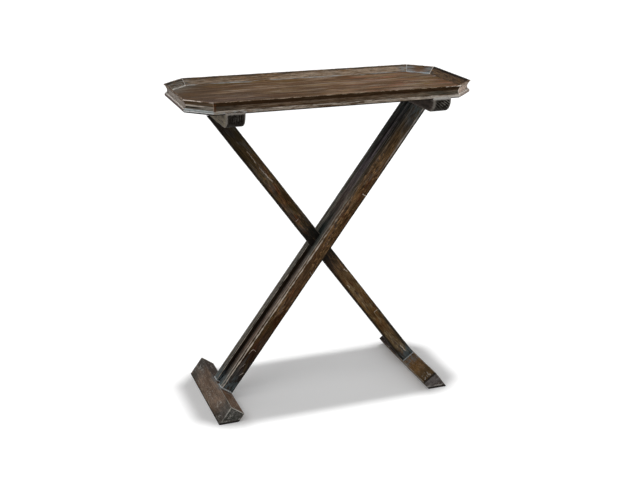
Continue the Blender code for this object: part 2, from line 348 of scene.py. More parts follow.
to_clip = both(less(half_panel.x + half_panel.y - PANEL_CLIP, beyond), math.sqrt(0.5))
to_wall, to_corner = nearest_two(inside_of(panel_x, half_panel.x), inside_of(panel_y, half_panel.y), to_clip)
toward_back = between(panel_y, 0.01, 0.06)
in_corner = both(between(to_corner, 0.05, 0.006), toward_back)
dab(stain, in_corner, (0.05, 0.016, 0.44, 0.6, 0.7), (0.116, 0.106, 0.09))
at_wall = both(between(to_wall, 0.01, 0.001), toward_back, between(panel_x, 0.02, 0.16, 0.28, 0.95))
dab(stain, at_wall, (0.06, 0.02, 0.47, 0.6), (0.24, 0.262, 0.27))
hang_on_frame(panel, "tray_panel", seal(stain))


# Rim: eight lengths of oak moulding mitred at the tray's clipped corners and glued round the floor.
# Its lip has two members, the hollow above it runs up to a flared band, and the top edge is worn thin.
TRAY_HALF_X = 0.28475
TRAY_HALF_Y = 0.122
TRAY_CLIP = 0.0445
TRAY_UNDERSIDE = panel_low.z
MITRE_SLOPE = math.tan(math.radians(22.5))
MITRE_GAP = 0.00016
RIM_STEP = 0.0032
RIM_SHOWN_FROM = 0.0002
RIM_TOP_FROM = 0.0218
RIM_SMOOTH_ANGLE = math.radians(38)
RIM_TONES = ((0.06, 0.032, 0.014), (0.12, 0.074, 0.042), (0.19, 0.132, 0.084))
RIM_STREAK = (0.09, 0.004)
RIM_START = (0.0036, 0.0)
RIM_STRETCHES = (
    (0.0013, 0.0023, 0.00067, 4),
    (0.0013, 0.0034, 0.0, 1),
    (0.0047, 0.0076, 0.001, 6),
    (0.0057, 0.0108, -0.0004, 3),
    (0.0054, 0.0152, -0.00013, 3),
    (0.0047, 0.0154, 0.0, 1),
    (0.0003, 0.0221, -0.0006, 7),
    (0.0011, 0.0234, 0.0005, 3),
    (0.0033, 0.0233, 0.0, 2),
    (0.0045, 0.0224, 0.00018, 2),
    (0.014, 0.0104, 0.0, 8),
    (0.014, 0.0077, 0.0, 1),
    (0.0116, 0.0077, 0.0, 1),
    (0.0116, 0.0, 0.0, 1),
)


def drawn_section(start, stretches):
    """Points of a section drawn in stretches: where each ends, inward and up, its bow, and its steps."""
    points = [Vector(start)]
    for inward, up, bow, steps in stretches:
        first = points[-1]
        run = Vector((inward, up)) - first
        outward = Vector((-run.y, run.x)).normalized()
        for step in range(1, steps + 1):
            share = step / steps
            points.append(first + run * share + outward * (bow * 4 * share * (1 - share)))
    return points


def saw(point, outward):
    """Saws off all of the piece in work that lies beyond a plane, and closes the cut."""
    take_all()
    bpy.ops.mesh.bisect(
        plane_co=point, plane_no=outward, use_fill=True, clear_outer=True, threshold=0.00001
    )


def mitred_rim(name, length, middle, turn):
    """One length of the moulding, drawn as a section, run to length, mitred and turned into its side."""
    section = drawn_section(RIM_START, RIM_STRETCHES)
    end_place = (-length / 2, 0, TRAY_UNDERSIDE)
    piece = blank(name, bpy.ops.mesh.primitive_plane_add, size=0.001, location=end_place)
    bpy.ops.object.mode_set(mode="EDIT")
    bpy.ops.mesh.select_mode(type="VERT")
    take_all()
    bpy.ops.mesh.merge(type="CENTER")
    bpy.ops.transform.translate(value=(0, *section[0]))
    for last_point, point in zip(section, section[1:]):
        bpy.ops.mesh.extrude_vertices_move(TRANSFORM_OT_translate={"value": (0, *(point - last_point))})
    take_all()
    bpy.ops.mesh.edge_face_add()
    bpy.ops.mesh.extrude_region_move(TRANSFORM_OT_translate={"value": (length, 0, 0)})
    for end in (-1, 1):
        saw((end * (length / 2 - MITRE_GAP), 0, 0), (end, MITRE_SLOPE, 0))
    take_all()
    bpy.ops.mesh.normals_make_consistent(inside=False)
    for share, cuts in ((3, 3), (14, max(2, round(length / 4 / RIM_STEP)))):
        pick(piece, "EDGE", lambda edge: abs(edge.verts[0].co.x - edge.verts[1].co.x) > length / share)
        bpy.ops.mesh.subdivide(number_cuts=cuts)
    bpy.ops.object.mode_set(mode="OBJECT")
    piece.rotation_euler = (0, 0, turn)
    piece.location = (*middle, 0)
    set_in_place(piece)
    for group, level in (("shown", RIM_SHOWN_FROM), ("top_edge", RIM_TOP_FROM)):
        mark_out(piece, group, lambda point: float(point.co.z > TRAY_UNDERSIDE + level))
    hand_work(piece, "scraping", 0.03, 0.0003, "shown")
    hand_work(piece, "knocks", 0.006, 0.0007, "top_edge", 1)
    smooth(piece, RIM_SMOOTH_ANGLE)
    return piece


front_length = 2 * (TRAY_HALF_X - TRAY_CLIP)
end_length = 2 * (TRAY_HALF_Y - TRAY_CLIP)
clip_length = TRAY_CLIP * math.sqrt(2)
clip_x = TRAY_HALF_X - TRAY_CLIP / 2
clip_y = TRAY_HALF_Y - TRAY_CLIP / 2
rim_sides = (
    ("rim_front", front_length, (0, -TRAY_HALF_Y), 0),
    ("rim_front_right", clip_length, (clip_x, -clip_y), 45),
    ("rim_right", end_length, (TRAY_HALF_X, 0), 90),
    ("rim_back_right", clip_length, (clip_x, clip_y), 135),
    ("rim_back", front_length, (0, TRAY_HALF_Y), 180),
    ("rim_back_left", clip_length, (-clip_x, clip_y), 225),
    ("rim_left", end_length, (-TRAY_HALF_X, 0), 270),
    ("rim_front_left", clip_length, (-clip_x, -clip_y), 315),
)
# Layers shared by the end and back rims: the dark band and the lip's underside (under) are painted shade.
rim_plain = (
    ("hollow", "mottled", 0.7, (0.1, 0.068, 0.042)),
    ("band", "even", 0.92, (0.022, 0.011, 0.004)),
    ("lip", "mottled", 0.8, (0.24, 0.2, 0.155)),
    ("under", "even", 0.9, (0.022, 0.016, 0.011)),
    ("top", "mottled", 0.6, (0.15, 0.105, 0.068)),
)
rim_layers = {
    # Front rim: its dark band and the lip's underside are painted shade, and the lip's right end (lip_stop)
    # is painted paler, partly as painted light from the right.
    "rim_front": (
        ("hollow", "mottled", 0.75, (0.165, 0.112, 0.072)),
        ("hollow", "streaked", 0.55, (0.27, 0.215, 0.155)),
        ("hollow_start", "even", 0.75, (0.05, 0.042, 0.032)),
        ("hollow_stop", "mottled", 0.8, (0.075, 0.076, 0.058)),
        ("band", "even", 0.94, (0.04, 0.02, 0.008)),
        ("lip", "mottled", 0.9, (0.41, 0.338, 0.268)),
        ("lip_line", "dashed", 0.9, (0.64, 0.56, 0.47)),
        ("lip_start", "flecked", 0.85, (0.44, 0.45, 0.436)),
        ("lip_stop", "even", 0.85, (0.8, 0.735, 0.65)),
        ("under", "even", 0.95, (0.014, 0.01, 0.007)),
        ("top", "flecked", 0.8, (0.34, 0.265, 0.19)),
        ("top_stop", "flecked", 0.95, (0.78, 0.69, 0.59)),
        ("start_patch", "mottled", 0.9, (0.1, 0.036, 0.012)),
    ),
    # Front-right clip, turned to the light from the right: its hollow, band and lip are painted pale, partly
    # as painted light, its lip line and mitre edge are near-white painted highlights, and the lip's
    # underside is painted shade.
    "rim_front_right": (
        ("hollow", "even", 0.92, (0.76, 0.6, 0.49)),
        ("band", "mottled", 0.88, (0.64, 0.5, 0.4)),
        ("lip", "even", 0.85, (0.56, 0.455, 0.38)),
        ("lip_line", "even", 0.95, (0.9, 0.83, 0.75)),
        ("under", "even", 0.95, (0.014, 0.01, 0.007)),
        ("top", "mottled", 0.7, (0.2, 0.15, 0.11)),
        ("start_edge", "even", 0.95, (0.95, 0.89, 0.82)),
        ("stop_near", "mottled", 0.6, (0.16, 0.145, 0.125)),
    ),
    "rim_right": (
        *rim_plain,
        ("wall", "mottled", 0.85, (0.088, 0.058, 0.038)),
        ("wall", "dashed", 0.6, (0.034, 0.026, 0.02)),
        ("wall", "flecked", 0.55, (0.175, 0.104, 0.052)),
        ("foot", "mottled", 0.7, (0.06, 0.042, 0.028)),
        ("edge", "even", 0.97, (0.012, 0.008, 0.006)),
        ("top", "even", 0.95, (0.012, 0.008, 0.006)),
        ("stop_near", "mottled", 0.75, (0.07, 0.066, 0.058)),
    ),
    "rim_back_right": (
        *rim_plain,
        ("wall", "streaked", 0.8, (0.17, 0.112, 0.078)),
        ("start_near", "mottled", 0.75, (0.185, 0.205, 0.21)),
        ("stop_near", "mottled", 0.75, (0.2, 0.215, 0.215)),
        ("foot", "even", 0.85, (0.32, 0.36, 0.38)),
        ("edge", "flecked", 0.8, (0.03, 0.024, 0.02)),
        ("start_line", "even", 0.9, (0.56, 0.52, 0.48)),
        ("stop_line", "even", 0.85, (0.48, 0.48, 0.47)),
    ),
    "rim_back": (
        *rim_plain,
        ("wall", "mottled", 0.85, (0.19, 0.136, 0.09)),
        ("wall", "streaked", 0.75, (0.38, 0.305, 0.225)),
        ("wall", "dashed", 0.6, (0.072, 0.044, 0.025)),
        ("wall", "flecked", 0.35, (0.27, 0.15, 0.07)),
        ("wall_start", "mottled", 0.55, (0.35, 0.275, 0.205)),
        ("wall_stop", "mottled", 0.5, (0.1, 0.08, 0.064)),
        ("foot", "streaked", 0.8, (0.25, 0.27, 0.275)),
        ("start_near", "mottled", 0.8, (0.21, 0.23, 0.238)),
        ("stop_near", "mottled", 0.75, (0.15, 0.145, 0.13)),
        ("edge", "mottled", 0.8, (0.034, 0.024, 0.016)),
        ("top", "mottled", 0.75, (0.04, 0.026, 0.017)),
    ),
    "rim_back_left": (
        *rim_plain,
        ("wall", "mottled", 0.9, (0.105, 0.092, 0.076)),
        ("wall", "flecked", 0.6, (0.235, 0.226, 0.205)),
        ("edge", "mottled", 0.85, (0.026, 0.022, 0.018)),
        ("foot", "even", 0.85, (0.5, 0.48, 0.44)),
        ("start_line", "even", 0.9, (0.6, 0.57, 0.53)),
        ("top", "mottled", 0.8, (0.04, 0.034, 0.028)),
    ),
    # Left rim, turned to the left lamp: its hollow, band and lip line are painted pale, partly as painted
    # light, and the lip's underside is painted shade.
    "rim_left": (
        ("hollow", "even", 0.9, (0.42, 0.36, 0.312)),
        ("band", "mottled", 0.9, (0.345, 0.296, 0.256)),
        ("lip", "even", 0.92, (0.135, 0.095, 0.082)),
        ("lip_line", "even", 0.95, (0.8, 0.74, 0.68)),
        ("under", "even", 0.95, (0.04, 0.028, 0.024)),
        ("start_near", "mottled", 0.7, (0.11, 0.11, 0.102)),
        ("stop_near", "mottled", 0.6, (0.25, 0.19, 0.175)),
        ("top", "flecked", 0.9, (0.03, 0.02, 0.014)),
    ),
    # Front-left clip: the dark line under its bead (bead_shade) and the line under its lip are painted
    # shade.
    "rim_front_left": (
        ("hollow", "even", 0.85, (0.27, 0.24, 0.2)),
        ("bead_shade", "even", 0.92, (0.024, 0.018, 0.013)),
        ("bead", "even", 0.9, (0.66, 0.565, 0.48)),
        ("band", "mottled", 0.9, (0.11, 0.074, 0.046)),
        ("lip", "even", 0.88, (0.235, 0.255, 0.258)),
        ("lip_line", "even", 0.95, (0.64, 0.69, 0.7)),
        ("lip_low", "even", 0.95, (0.9, 0.905, 0.89)),
        ("under_line", "even", 0.95, (0.014, 0.011, 0.009)),
        ("top", "mottled", 0.9, (0.74, 0.64, 0.565)),
        ("stop_patch", "even", 0.7, (0.4, 0.29, 0.205)),
    ),
}


def rest_of(amount):
    return less(1.0, amount)


def band(value, low, high, soft):
    """1 from low to high, falling softly to 0 outside."""
    return both(between(value, low - soft, low), between(value, high + soft, high))


def frayed(oak, stretch, reach, detail=3.0, roughness=0.65):
    """An uneven shift of up to half a reach either way, for a border that isn't straight."""
    return calc("MULTIPLY_ADD", figure(oak.own, stretch, detail, roughness), reach, -reach / 2)


def rim_stain(name, length, middle, turn, layers):
    """Oak moulding with its stain, bloom, dust and rubbed edges, and painted shade and painted light, laid
    on one after the other.
    """
    oak = stained_oak(name, (*middle, TRAY_UNDERSIDE), (0, 0, turn), RIM_TONES, RIM_STREAK)
    along, inward, height = parts_of(oak.own)
    up = plus(height, frayed(oak, (90, 60, 60), 0.003, 4.0, 0.6))
    inside = between(calc("MULTIPLY_ADD", height, 0.793, inward), 0.0205, 0.0216)
    outside = rest_of(inside)
    mitred = calc("MULTIPLY_ADD", inward, -MITRE_SLOPE, length / 2)
    from_start = plus(mitred, along)
    from_stop = less(mitred, along)
    zones = {
        "whole": 1.0,
        "inside": inside,
        "outside": outside,
        "side": band(height, 0.0066, 0.0215, 0.0006),
        "crest": between(height, 0.0214, 0.0224),
    }
    for zone, value, low, high, soft in (
        ("lip", height, 0.0024, 0.006, 0.0005),
        ("lip_low", height, 0.003, 0.0042, 0.0004),
        ("lip_line", height, 0.0058, 0.0073, 0.0004),
        ("hollow", up, 0.0079, 0.015, 0.0008),
        ("bead_shade", height, 0.009, 0.0116, 0.0004),
        ("bead", height, 0.0126, 0.0144, 0.0004),
        ("band", up, 0.0156, 0.0226, 0.001),
    ):
        zones[zone] = both(outside, band(value, low, high, soft))
    for zone, within, value, nothing, full in (
        # under and under_line: the lip's underside, where the layers paint shade
        ("under", "outside", height, 0.0026, 0.0018),
        ("under_line", "outside", height, 0.003, 0.0022),
        ("lip_start", "lip", from_start, 0.16, 0.01),
        ("lip_stop", "lip", from_stop, 0.13, 0.01),
        ("hollow_start", "hollow", from_start, 0.06, 0.02),
        ("hollow_stop", "hollow", from_stop, 0.13, 0.02),
        ("bead", "bead", from_stop, 0.014, 0.024),
        ("bead_shade", "bead_shade", from_stop, 0.024, 0.036),
        ("top", "whole", height, 0.022, 0.0228),
        ("top_stop", "crest", from_stop, 0.06, 0.004),
        ("edge", "inside", height, 0.02, 0.0211),
        ("wall", "inside", height, 0.0229, 0.0222),
        ("wall_start", "wall", from_start, 0.32, 0.2),
        ("wall_stop", "wall", from_stop, 0.13, 0.04),
        ("foot", "inside", up, 0.0126, 0.0112),
        ("start_near", "side", from_start, 0.024, 0.006),
        ("stop_near", "side", from_stop, 0.024, 0.006),
        ("start_line", "whole", from_start, 0.0018, 0.001),
        ("stop_line", "whole", from_stop, 0.0018, 0.001),
        ("start_edge", "outside", from_start, 0.0034, 0.0022),
        ("start_patch", "side", from_start, 0.0048, 0.0034),
        ("stop_patch", "side", from_stop, 0.0024, 0.0012),
    ):
        zones[zone] = both(zones[within], between(value, nothing, full))
    coats = {
        "even": between(figure(oak.own, (60, 400, 400), 2.0), 0.3, 0.5, 0.75, 1.0),
        "mottled": patches(oak, 0.03, 0.005, 0.38, 0.56),
        "flecked": patches(oak, 0.01, 0.0025, 0.49, 0.58),
        "dashed": patches(oak, 0.022, 0.0014, 0.46, 0.54),
        "streaked": patches(oak, 0.07, 0.0026, 0.45, 0.57),
    }
    for zone, coat, amount, colour in layers:
        wash(oak, both(zones[zone], coats[coat], amount), colour)
    return seal(oak)


for rim_name, rim_length, rim_middle, rim_degrees in rim_sides:
    rim_place = (rim_length, rim_middle, math.radians(rim_degrees))
    rim = mitred_rim(f"{rim_name}_moulding", *rim_place)
    rim_material = rim_stain(f"{rim_name}_stain", *rim_place, rim_layers[rim_name])
    hang_on_frame(rim, rim_name, rim_material)


# Battens: two short oak bars across the underside of the tray, screwed up into its floor.
# Each is notched, so that the rim's lip drops between its two rounded noses,
# which stand a little proud of it.
BATTEN_NOSE = 0.024
BATTEN_ARRIS = 0.003
NOTCH_HALF = 0.121
NOTCH_DEPTH = 0.0039
COUNTERBORE_RADIUS = 0.0055
COUNTERBORE_DEPTH = 0.0113
SCREW_SPREAD = 0.08
LINE_SPACING = 0.0042
BORE_SIDES = 48
SHARP = math.radians(25)
GRAIN_TO_BACK = (0, 0, math.radians(90))
BATTEN_TONES = ((0.008, 0.006, 0.004), (0.017, 0.013, 0.01), (0.04, 0.035, 0.029))
BATTEN_STREAK = (0.07, 0.004)


def shown_sharp(edge):
    return len(edge.link_faces) == 2 and edge.calc_face_angle() > SHARP


def ease(piece, test, width, steps):
    """Takes off or rounds the edges for which the test holds."""
    pick(piece, "EDGE", test)
    bpy.ops.mesh.bevel(offset=width, segments=steps, profile=0.5, affect="EDGES")


def run_of(edge):
    return (edge.verts[1].co - edge.verts[0].co).normalized()


def score(direction, start, stop, cuts):
    """Draws lines across the piece in work, evenly from start to stop, so that it can be shaped."""
    for cut in range(1, cuts + 1):
        point = direction * (start + (stop - start) * cut / (cuts + 1))
        take_all()
        bpy.ops.mesh.bisect(plane_co=point, plane_no=direction)


def cut_out(piece, shape, **sizes):
    """Takes a plain shape out of a piece."""
    bpy.ops.object.select_all(action="DESELECT")
    shape(**sizes)
    bit = bpy.context.active_object
    cutting = piece.modifiers.new(bit.name, "BOOLEAN")
    cutting.operation = "DIFFERENCE"
    cutting.solver = "EXACT"
    cutting.object = bit
    work_on(piece)
    bpy.ops.object.modifier_apply(modifier=cutting.name)
    bpy.data.objects.remove(bit)


def nosed_batten(name, solid):
    """A bar rounded below at both ends, rasped, notched above and bored for its screws."""
    low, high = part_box(solid)
    size = high - low
    middle = (low + high) / 2
    piece = blank(name, bpy.ops.mesh.primitive_cube_add, size=1, location=middle, scale=size)
    bpy.ops.object.mode_set(mode="EDIT")

    def under_end(edge):
        return abs(run_of(edge).x) > 0.9 and edge.verts[0].co.z < middle.z

    ease(piece, under_end, BATTEN_NOSE, 12)
    ease(piece, shown_sharp, BATTEN_ARRIS, 4)
    score(Vector((0, 1, 0)), low.y, high.y, 60)
    score(Vector((1, 0, 0)), low.x, high.x, 9)
    bpy.ops.object.mode_set(mode="OBJECT")
    hand_work(piece, "rasping", 0.022, 0.0006)
    hand_work(piece, "knocks", 0.005, 0.0003)
    notch = (2 * size.x, 2 * NOTCH_HALF, 2 * NOTCH_DEPTH)
    cut_out(piece, bpy.ops.mesh.primitive_cube_add, size=1, location=(middle.x, 0, high.z), scale=notch)
    for along in (-SCREW_SPREAD, SCREW_SPREAD):
        cut_out(
            piece,
            bpy.ops.mesh.primitive_cylinder_add,
            vertices=BORE_SIDES,
            radius=COUNTERBORE_RADIUS,
            depth=2 * COUNTERBORE_DEPTH,
            location=(middle.x, along, low.z),
        )
    smooth(piece, SMOOTH_ANGLE)
    return piece


def batten_stain(name, solid, left_face, nose_lines, line_turn, worn, nose_top_highlight):
    """Nearly black oak, pale where the nose meets the sides and the tray, partly rubbed and partly painted
    highlight, with a painted highlight along the nose's top, and scored on the nose.
    """
    low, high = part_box(solid)
    middle = (low + high) / 2
    half = (high - low) / 2
    oak = stained_oak(name, middle, GRAIN_TO_BACK, BATTEN_TONES, BATTEN_STREAK)
    x, y, z = parts_of(oak.place)
    across = less(x, middle.x)
    over_nose = calc("MAXIMUM", less(unsigned(y), half.y - BATTEN_NOSE), 0.0)
    under_nose = calc("MAXIMUM", less(low.z + BATTEN_NOSE, z), 0.0)
    reach = calc("SQRT", plus(both(over_nose, over_nose), both(under_nose, under_nose)))
    arris = nearest_two(inside_of(across, half.x), less(BATTEN_NOSE, reach), less(high.z, z))[1]
    on_left = between(across, 0.003 - half.x, 0.0016 - half.x)
    dab(oak, on_left, (0.05, 0.012, 0.25, 0.5, 0.95), left_face)
    at_nose = between(over_nose, 0.006, 0.014)
    over_lines = parts_of(turned_place(oak.place, middle, (0, line_turn, 0)))[0]
    wobble = both(figure(oak.own, (60, 90, 90), 2.0), 5.0)
    lines = calc("SINE", calc("MULTIPLY_ADD", over_lines, math.tau / LINE_SPACING, wobble))
    upper_nose = between(z, low.z + 0.006, low.z + 0.018, 0.2, 1.0)
    rightward_share = between(across, -0.5 * half.x, 0.3 * half.x, 0.4, 1.0)
    scored = both(at_nose, upper_nose, rightward_share, between(lines, 0.2, 0.8, 0.0, nose_lines))
    dab(oak, scored, (0.02, 0.009, 0.36, 0.54), (0.225, 0.215, 0.19))
    # pale arris round the nose: partly rubbed wear, partly painted highlight where the chamfer meets the
    # light
    rubbed = between(plus(arris, frayed(oak, (150, 220, 220), 0.0044)), worn, 0.0012)
    lower = between(z, low.z + 0.002, low.z + 0.012, 0.45, 1.0)
    wash(oak, both(rubbed, lower, 0.85), (0.245, 0.22, 0.195))
    # painted highlight along the top of the nose, where its rounded arris faces up to the light
    nose_top = both(at_nose, between(z, high.z - 0.0044, high.z - 0.0022, 0.0, nose_top_highlight))
    wash(oak, nose_top, (0.42, 0.405, 0.375))
    return seal(oak)


# Columns: name, left side colour, strength of the score lines, their turn, width of the rubbed and lit
# arris, and the painted highlight on the nose's top.
for batten_name, *batten_look in (
    ("batten_left", (0.248, 0.208, 0.148), 0.25, 0.0, 0.0046, 0.0),
    ("batten_right", (0.062, 0.046, 0.038), 0.9, math.radians(-52), 0.0062, 0.75),
):
    batten = nosed_batten(f"{batten_name}_bar", batten_name)
    batten_material = batten_stain(f"{batten_name}_stain", batten_name, *batten_look)
    hang_on_frame(batten, batten_name, batten_material)


# Legs: three long oak rails. A pair side by side runs from the left foot to the right batten,
# and a single rail runs between them the other way.
# Each is dowelled at both ends, and a pin holds the crossing.
LEG_TILT = math.radians(36.3)
LEG_SINE = math.sin(LEG_TILT)
LEG_COSINE = math.cos(LEG_TILT)
CROSSING = 0.3065
RAIL_WIDTH = 0.029
RAIL_HALF = RAIL_WIDTH / 2
RAIL_SPARE = 0.03
RAIL_END = 0.004
FOOT_JOINT = 0.3486
RAIL_ARRIS = 0.001
FRONT_CHAMFER = 0.0034
PIN_HOLE = 0.0053
LEG_TONES = ((0.58, 0.51, 0.44), (1.0, 1.0, 1.0), (1.45, 1.48, 1.45))
LEG_STREAK = (0.09, 0.008)
BARE = (0.56, 0.48, 0.4)


def leg_blank(name, solid, lean, width, length, along):
    """A square bar in line with a leg, its middle so far along from the crossing."""
    low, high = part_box(solid)
    return blank(
        name,
        bpy.ops.mesh.primitive_cube_add,
        size=1,
        location=(lean * along * LEG_SINE, (low.y + high.y) / 2, CROSSING + along * LEG_COSINE),
        rotation=(0, lean * LEG_TILT, 0),
        scale=(width, high.y - low.y, length),
    )


def rail(name, solid, lean, chamfer):
    """A rail sawn level under its batten, with a front chamfer where it has one, planed and knocked."""
    low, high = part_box(solid)
    length = 2 * FOOT_JOINT + RAIL_SPARE
    piece = leg_blank(name, solid, lean, RAIL_WIDTH, length, length / 2 - FOOT_JOINT)
    way = Vector((lean * LEG_SINE, 0, LEG_COSINE))
    upper = Vector((-lean * LEG_COSINE, 0, LEG_SINE))
    centre_line = Vector((0, 0, CROSSING))
    bpy.ops.object.mode_set(mode="EDIT")
    saw((0, 0, high.z), (0, 0, 1))

    def front_upper(edge):
        spot = (edge.verts[0].co + edge.verts[1].co) / 2
        on_upper = (spot - centre_line).dot(upper) > RAIL_WIDTH * 0.4
        return abs(run_of(edge).dot(way)) > 0.98 and on_upper and spot.y < low.y + 0.001

    if chamfer:
        ease(piece, front_upper, chamfer, 1)
    ease(piece, shown_sharp, RAIL_ARRIS, 2)
    to_back = Vector((0, 1, 0))
    for run, least, cuts in ((way, 0.3, 14), (way, 0.03, 14), (upper, 0.015, 8), (to_back, 0.008, 5)):
        pick(piece, "EDGE", lambda edge: abs(run_of(edge).dot(run)) > 0.98 and edge.calc_length() > least)
        bpy.ops.mesh.subdivide(number_cuts=cuts)
    bpy.ops.object.mode_set(mode="OBJECT")

    def off_ends(point):
        climb = (point.co - centre_line).dot(way)
        return float(climb > -FOOT_JOINT + RAIL_END and point.co.z < high.z - RAIL_END)

    mark_out(piece, "length", off_ends)
    hand_work(piece, "planing", 0.06, 0.0007, "length")
    hand_work(piece, "knocks", 0.008, 0.0004, "length")
    smooth(piece, SMOOTH_ANGLE)
    return piece


def along_tones(value, stops):
    """A stain that changes along a piece, by its tones at a few places."""
    first = stops[0][0]
    reach = stops[-1][0] - first
    ramp = node(value.id_data, "ValToRGB", calc("MULTIPLY_ADD", value, 1 / reach, -first / reach))
    tones = ramp.color_ramp.elements
    tones[0].color = (*stops[0][1], 1.0)
    tones[-1].color = (*stops[-1][1], 1.0)
    for place, colour in stops[1:-1]:
        tones.new((place - first) / reach).color = (*colour, 1.0)
    return ramp.outputs[0]


def mark(oak, along, rise, at_along, at_rise, half_length, half_width, mark_turn):
    """One scratch or nick on a face: its place, half its length and width, and its turn from the grain."""
    from_along = less(along, at_along)
    from_rise = less(rise, at_rise)
    cosine = math.cos(math.radians(mark_turn))
    sine = math.sin(math.radians(mark_turn))
    down = plus(both(from_along, cosine), both(from_rise, sine))
    over = less(both(from_rise, cosine), both(from_along, sine))
    over = plus(over, frayed(oak, (260, 260, 260), 0.005, 2.0, 0.6))
    long_enough = between(unsigned(down), half_length, half_length * 0.6)
    thin_enough = between(unsigned(over), half_width, half_width * 0.4)
    return both(long_enough, thin_enough)


# Tones inside the gap between the paired rails; the near-black stretch from the foot to the crossing is
# painted shade.
gap_tones = (
    (-0.35, (0.02, 0.024, 0.024)),
    (-0.3, (0.014, 0.009, 0.005)),
    (-0.03, (0.014, 0.01, 0.006)),
    (0.03, (0.034, 0.05, 0.048)),
    (0.1, (0.12, 0.094, 0.08)),
    (0.2, (0.26, 0.225, 0.24)),
    (0.26, (0.28, 0.245, 0.26)),
    (0.31, (0.2, 0.195, 0.195)),
    (0.39, (0.22, 0.23, 0.235)),
)


def leg_stain(name, solid, look):
    """Dark stained oak whose tone changes along the rail, flecked, dusty at the foot, its arrises rubbed,
    with painted shade in the gap, by the crossing, under the tray, along the lower edges and on the through
    rail's arrises.
    """
    low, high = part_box(solid)
    half_thick = (high.y - low.y) / 2
    lean = look["lean"]
    chamfer = look["chamfer"]
    shaded = look["shaded"]
    centre = (0, (low.y + high.y) / 2, CROSSING)
    turn = (0, -math.atan2(LEG_COSINE, lean * LEG_SINE), 0)
    oak = stained_oak(name, centre, turn, LEG_TONES, LEG_STREAK)
    along, back, rise = parts_of(oak.own)
    rise = both(rise, lean)
    uneven = figure(oak.own, (30, 140, 140), 3.0, 0.6)
    wander = calc("MULTIPLY_ADD", uneven, 0.1, less(along, 0.05))
    on_upper = between(rise, RAIL_HALF - 0.0022, RAIL_HALF - 0.0008)
    on_face = rest_of(on_upper)
    tone = tint(on_upper, along_tones(wander, look["face"]), along_tones(wander, look["upper"]))
    wash(oak, 1.0, tone, "MULTIPLY")
    flecked = both(on_face, between(along, -0.24, -0.12), between(along, 0.3, 0.2), look["flecks"])
    if shaded:
        flecked = both(flecked, between(along, 0.06, -0.04, 0.45, 1.0))
    clusters = both(flecked, patches(oak, 0.06, 0.02, 0.42, 0.56))
    reddened = both(on_face, between(along, -0.22, -0.1, 0.35, 1.0), between(along, 0.26, 0.16))
    dab(oak, on_face, (0.08, 0.02, 0.48, 0.6, 0.4), (0.074, 0.05, 0.016))
    dab(oak, reddened, (0.05, 0.012, 0.52, 0.62, 0.7), (0.12, 0.042, 0.016))
    dab(oak, on_face, (0.065, 0.014, 0.54, 0.64, 0.45), (0.088, 0.088, 0.084))
    dab(oak, 1.0, (0.09, 0.009, 0.53, 0.64, 0.6), (0.018, 0.01, 0.005))
    dab(oak, flecked, (0.09, 0.007, 0.55, 0.64), (0.18, 0.1, 0.043))
    dab(oak, clusters, (0.014, 0.0044, 0.53, 0.61, 0.75), (0.03, 0.014, 0.005))
    dab(oak, clusters, (0.009, 0.0032, 0.53, 0.61, 0.9), (0.285, 0.162, 0.072))
    if shaded:
        # painted shade on the through rail next to the crossing, where it leaves the gap between the pair
        at_crossing = both(between(along, 0.066, 0.028), between(along, -0.075, 0.0, 0.0, 0.92))
        wash(oak, at_crossing, (0.01, 0.01, 0.009))
        dab(oak, between(along, -0.06, -0.11), (0.026, 0.01, 0.5, 0.6, 0.65), (0.215, 0.155, 0.082))
        # painted shade along the through rail's upper edge, low down
        at_edge = between(rise, RAIL_HALF - 0.009, RAIL_HALF - 0.0035)
        low_down = both(at_edge, between(along, -0.15, -0.24))
        dab(oak, low_down, (0.05, 0.012, 0.3, 0.5, 0.85), (0.02, 0.016, 0.013))
    dab(oak, on_upper, (0.14, 0.002, 0.5, 0.58, 0.6), (0.265, 0.245, 0.205))
    curl = between(figure(oak.own, (300, 90, 90), 2.0, 0.6, 1.6), 0.56, 0.64)
    dab(oak, both(flecked, curl), (0.04, 0.01, 0.52, 0.64), (0.24, 0.145, 0.07))
    # Painted shade in the gap: the faces toward the other rail take the gap tones, and above the middle they
    # are darkened to near black outside a paler strip.
    if look["gap_side"]:
        lap = half_thick - 0.0034 if chamfer else half_thick - 0.0014
        in_gap = between(both(back, look["gap_side"]), lap - 0.0032, lap, 0.0, 0.93)
        bloom = rest_of(band(rise, 0.004, 0.0084, 0.0016))
        shade = both(bloom, between(along, 0.13, 0.23, 0.0, 0.92))
        wash(oak, in_gap, tint(shade, along_tones(along, gap_tones), (0.014, 0.014, 0.014)))
    on_lower = between(rise, 0.0022 - RAIL_HALF, 0.0008 - RAIL_HALF)
    dab(oak, on_lower, (0.08, 0.006, 0.4, 0.6, 0.8), (0.105, 0.094, 0.078))
    upper_dust = between(along, 0.27, 0.34, 0.0, 0.15 if shaded else 0.6)
    dust_ends = calc("MAXIMUM", between(along, -0.3, -0.342), upper_dust)
    dab(oak, dust_ends, (0.014, 0.005, 0.44, 0.56, 0.85), (0.112, 0.142, 0.15))
    front = plus(back, half_thick)
    below = plus(rise, RAIL_HALF)
    above = less(RAIL_HALF, rise)
    behind = less(half_thick, back)
    ragged = frayed(oak, (90, 200, 200), 0.0026)
    lower_half = between(along, 0.14, -0.04, 0.14, 1.0)
    edge_width = 0.0024 if shaded else 0.0012
    arrises = [(above, behind, 0.4, 1.0)]
    if chamfer:
        flat = both(less(plus(half_thick + RAIL_HALF - chamfer, back), rise), math.sqrt(0.5))
        arrises += [(front, flat, 1.0, lower_half), (above, flat, 0.55, lower_half)]
    else:
        arrises.append((front, above, 0.8, lower_half))
